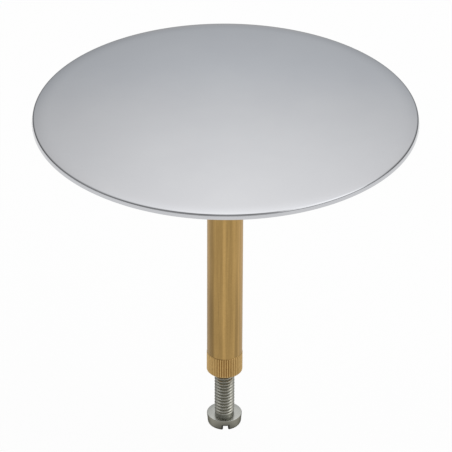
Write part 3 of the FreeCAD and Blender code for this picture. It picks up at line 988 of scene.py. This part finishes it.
def seal_carrier(ring):
    """Moulded disc with a groove round its rim, a hub and ribs between them."""
    acetal = moulded_acetal()
    bore = THREAD_RADIUS + HOLE_CLEARANCE
    pocket = stud_high.y + HOLE_CLEARANCE
    pocket_floor = stud_high.z - STUD_FLANGE_THICKNESS - HOLE_CLEARANCE
    wall = GROOVE_RADIUS - CARRIER_WALL
    web_top = GROOVE_TOP + CARRIER_WEB
    low = carrier_low.z
    high = carrier_high.z
    outline = rounded(
        (pocket, high, 0),
        (HUB_RADIUS, high, MOULDED_ROUND),
        (HUB_RADIUS, web_top, MOULDED_ROUND),
        (UPPER_FLANGE_RADIUS, web_top, MOULDED_ROUND),
        (UPPER_FLANGE_RADIUS, GROOVE_TOP, MOULDED_ROUND),
        (GROOVE_RADIUS, GROOVE_TOP, 0),
        (GROOVE_RADIUS, GROOVE_BOTTOM, 0),
        (LOWER_FLANGE_RADIUS, GROOVE_BOTTOM, MOULDED_ROUND),
        (LOWER_FLANGE_RADIUS, low, MOULDED_ROUND),
        (wall, low, MOULDED_ROUND),
        (wall, GROOVE_TOP, MOULDED_ROUND),
        (HUB_RADIUS, GROOVE_TOP, MOULDED_ROUND),
        (HUB_RADIUS, low, MOULDED_ROUND),
        (bore, low, 0),
        (bore, pocket_floor, 0),
        (pocket, pocket_floor, 0),
    )
    shape = turned(outline, closed=True)
    ribs = grown(ring, {"Count": RIB_COUNT, "Material": acetal}, carrier_rib())
    rib_mesh = bpy.data.meshes.new("carrier_ribs")
    ribs.to_mesh(rib_mesh)
    ribs.free()
    shape.from_mesh(rib_mesh)
    return piece_from("seal_carrier", shape, acetal, "stopper")


def seal_ring():
    """Profile ring: a bead in the carrier's groove and a lip that ends in a flat land."""
    land_outer = SEAL_RADIUS - SEAL_LIP_CHAMFER
    land_inner = land_outer - SEAL_LAND_WIDTH
    bead_inner = GROOVE_RADIUS + SEAL_CLEARANCE
    bead_bottom = GROOVE_BOTTOM + SEAL_CLEARANCE
    lip_inner = LOWER_FLANGE_RADIUS + SEAL_CLEARANCE
    outline = rounded(
        (bead_inner, bead_bottom, 0),
        (bead_inner, seal_high.z, 0),
        (UPPER_FLANGE_RADIUS, seal_high.z, SEAL_LIP_ROUND),
        (SEAL_RADIUS, SEAL_LIP_HEIGHT, SEAL_LIP_ROUND),
        (SEAL_RADIUS, SEAL_LIP_CHAMFER, SEAL_LIP_ROUND / 2),
        (land_outer, seal_low.z, SEAL_LIP_ROUND / 2),
        (land_inner, seal_low.z, SEAL_LIP_ROUND),
        (lip_inner, carrier_low.z, 0),
        (lip_inner, bead_bottom, 0),
    )
    return piece_from("seal_ring", turned(outline, closed=True), black_rubber(), "stopper")


def floor():
    """Pale floor, as low as the screw reaches when it is screwed out; white to the camera and in metal."""
    level = screw_low.z - travel["screw_travel"][1]
    shape = bmesh.new()
    bmesh.ops.create_grid(shape, x_segments=1, y_segments=1, size=FLOOR_HALF_WIDTH)
    bmesh.ops.translate(shape, verts=shape.verts, vec=(0, 0, level))
    mesh = bpy.data.meshes.new("floor")
    shape.to_mesh(mesh)
    shape.free()
    material = bpy.data.materials.new("pale_paper")
    material.use_nodes = True
    tree = material.node_tree
    tree.nodes.clear()
    rays = add(tree, "ShaderNodeLightPath").outputs
    paper = add(tree, "ShaderNodeBsdfDiffuse", {"Color": linear("#FBFBFB")})
    # metal sees white paper farther out, and the object's shadow round its foot, deepest in front of it
    place = add(tree, "ShaderNodeTexCoord").outputs["Object"]
    shadow = add(tree, "ShaderNodeMapping", {
        "Vector": place,
        "Location": (0, FLOOR_SHADOW_FORWARD / FLOOR_SHADOW_REACH, -level / FLOOR_SHADOW_REACH),
        "Scale": [1 / FLOOR_SHADOW_REACH] * 3,
    })
    distance = add(tree, "ShaderNodeVectorMath", {0: shadow.outputs[0]}, operation="LENGTH")
    unshaded = add(tree, "ShaderNodeValToRGB", {0: distance.outputs["Value"]}, stops=[
        (0.12, grey(0.26)), (0.18, grey(0.34)), (0.23, grey(0.48)), (0.28, grey(0.7)), (0.36, grey(0.78)),
        (0.47, grey(0.85)), (0.62, grey(0.88)), (0.76, grey(0.9)), (0.92, grey(0.94)),
    ])
    mirrored = add(tree, "ShaderNodeMath", {0: rays["Is Glossy Ray"], 1: rays["Is Transmission Ray"]},
                   operation="MAXIMUM")
    strength = add(tree, "ShaderNodeMapRange", {
        "Value": mirrored.outputs[0],
        "To Min": 1.0,
        "To Max": unshaded.outputs[0],
    })
    white = add(tree, "ShaderNodeEmission", {"Color": linear("#FFFFFF"), "Strength": strength.outputs[0]})
    in_view = add(tree, "ShaderNodeMath", {0: rays["Is Camera Ray"], 1: FLOOR_WHITENESS},
                  operation="MULTIPLY")
    whiteness = add(tree, "ShaderNodeMath", {0: in_view.outputs[0], 1: mirrored.outputs[0]},
                    operation="MAXIMUM")
    lit = add(tree, "ShaderNodeMixShader", {
        0: whiteness.outputs[0],
        1: paper.outputs[0],
        2: white.outputs[0],
    })
    # seen from below the floor is clear, so that the underside can be looked at
    clear = add(tree, "ShaderNodeBsdfTransparent")
    behind = add(tree, "ShaderNodeNewGeometry").outputs["Backfacing"]
    surface = add(tree, "ShaderNodeMixShader", {0: behind, 1: lit.outputs[0], 2: clear.outputs[0]})
    add(tree, "ShaderNodeOutputMaterial", {"Surface": surface.outputs[0]})
    mesh.materials.append(material)
    new_object("floor", mesh)


def studio():
    """Soft light: a room that brightens upwards to a lit ceiling, dimmer at its sides, and a key softbox."""
    world = bpy.data.worlds.new("studio")
    bpy.context.scene.world = world
    world.use_nodes = True
    tree = world.node_tree
    tree.nodes.clear()
    direction = add(tree, "ShaderNodeSeparateXYZ", {0: add(tree, "ShaderNodeTexCoord").outputs["Generated"]})
    upward = direction.outputs["Z"]
    backdrop = add(tree, "ShaderNodeValToRGB", {0: upward}, stops=[
        (0.0, grey(0.3)), (0.2, grey(0.48)), (0.3, grey(0.57)), (0.36, grey(0.59, 0.035)),
        (0.4, grey(0.672, 0.03)), (0.44, grey(0.75, 0.028)), (0.49, grey(0.887, 0.007)), (0.54, grey(1.02)),
        (0.6, grey(1.14, -0.005)), (0.65, grey(1.28)), (0.7, grey(1.48)), (0.88, grey(1.78)),
        (0.94, grey(1.78)), (0.975, grey(0.9)), (1.0, grey(0.75)),
    ])
    # the backdrop is brightest in the middle and fades to both sides, sooner to the left
    sideways = add(tree, "ShaderNodeMapRange", {"Value": direction.outputs["X"], "From Min": -1.0})
    sides = add(tree, "ShaderNodeValToRGB", {0: sideways.outputs[0]}, stops=[
        (0.0, grey(0.7)), (0.1, grey(0.65)), (0.18, grey(0.6)), (0.23, grey(0.75)), (0.3, grey(0.75)),
        (0.43, grey(0.72)), (0.48, grey(0.95)), (0.5, grey(1.0)), (0.525, grey(0.975)), (0.57, grey(0.84)),
        (0.76, grey(0.85)), (0.83, grey(0.85)), (0.9, grey(0.65)), (1.0, grey(0.7)),
    ])
    # the ceiling is lit from side to side
    ceiling = add(tree, "ShaderNodeValToRGB", {0: upward}, stops=[
        (0.72, grey(0.0)), (0.79, grey(0.8)), (0.86, grey(0.95)),
    ])
    across = add(tree, "ShaderNodeMath", {0: sides.outputs[0], 1: ceiling.outputs[0]}, operation="MAXIMUM")
    # the room is dimmer above the camera, and a little behind it
    frontal = add(tree, "ShaderNodeMapRange", {
        "Value": direction.outputs["Y"],
        "From Min": 0.05,
        "From Max": -0.2,
        "To Max": ROOM_DIMMING,
    }, interpolation_type="SMOOTHSTEP")
    overhead = add(tree, "ShaderNodeMapRange", {
        "Value": upward,
        "From Min": 0.55,
        "From Max": 0.68,
        "To Min": ROOM_DIMMING_BEHIND,
    }, interpolation_type="SMOOTHSTEP")
    dimming = add(tree, "ShaderNodeMath", {0: frontal.outputs[0], 1: overhead.outputs[0]},
                  operation="MULTIPLY")
    open_room = add(tree, "ShaderNodeMath", {0: 1.0, 1: dimming.outputs[0]}, operation="SUBTRACT")
    strength = add(tree, "ShaderNodeMath", {0: across.outputs[0], 1: open_room.outputs[0]},
                   operation="MULTIPLY")
    background = add(tree, "ShaderNodeBackground", {
        "Color": backdrop.outputs[0],
        "Strength": strength.outputs[0],
    })
    white = add(tree, "ShaderNodeBackground", {"Color": linear("#FFFFFF"), "Strength": 1.0})
    seen = add(tree, "ShaderNodeLightPath").outputs["Is Camera Ray"]
    sky = add(tree, "ShaderNodeMixShader", {0: seen, 1: background.outputs[0], 2: white.outputs[0]})
    add(tree, "ShaderNodeOutputWorld", {"Surface": sky.outputs[0]})

    key = bpy.data.lights.new("key_softbox", "AREA")
    key.shape = "DISK"
    key.size = KEY_SIZE
    key.energy = KEY_POWER
    key_lamp = bpy.data.objects.new("key_softbox", key)
    key_lamp.location = KEY_PLACE
    key_lamp.rotation_euler = (-KEY_PLACE).to_track_quat("-Z", "Y").to_euler()
    bpy.context.scene.collection.objects.link(key_lamp)


def camera():
    """Camera at the photograph's angle, aimed a little below the plate's rim."""
    ahead = Vector((0, math.cos(CAMERA_ELEVATION), -math.sin(CAMERA_ELEVATION)))
    above = Vector((0, math.sin(CAMERA_ELEVATION), math.cos(CAMERA_ELEVATION)))
    right = Vector((1, 0, 0))
    rim_centre = Vector((0, 0, RIM_TOP))
    place = rim_centre + right * CAMERA_AXIS_RIGHT - above * CAMERA_AXIS_BELOW_RIM - ahead * CAMERA_DISTANCE
    level = Matrix((right, above, -ahead)).transposed().to_4x4()
    lens = bpy.data.cameras.new("camera")
    lens.lens = CAMERA_LENS
    lens.clip_start = CAMERA_NEAREST
    viewer = bpy.data.objects.new("camera", lens)
    viewer.matrix_world = Matrix.Translation(place) @ level @ Matrix.Rotation(CAMERA_ROLL, 4, "Z")
    bpy.context.scene.collection.objects.link(viewer)
    bpy.context.scene.camera = viewer


ring = ring_tree()
thread = thread_tree()
cover_plate()
stem()
lock_nut(ring)
adjusting_screw(thread)
seal_carrier(ring)
seal_ring()
frame["nodes"]["plate_stud"].data.materials.clear()
frame["nodes"]["plate_stud"].data.materials.append(plated_steel())
floor()
studio()
camera()
bpy.context.scene.view_settings.view_transform = "Standard"
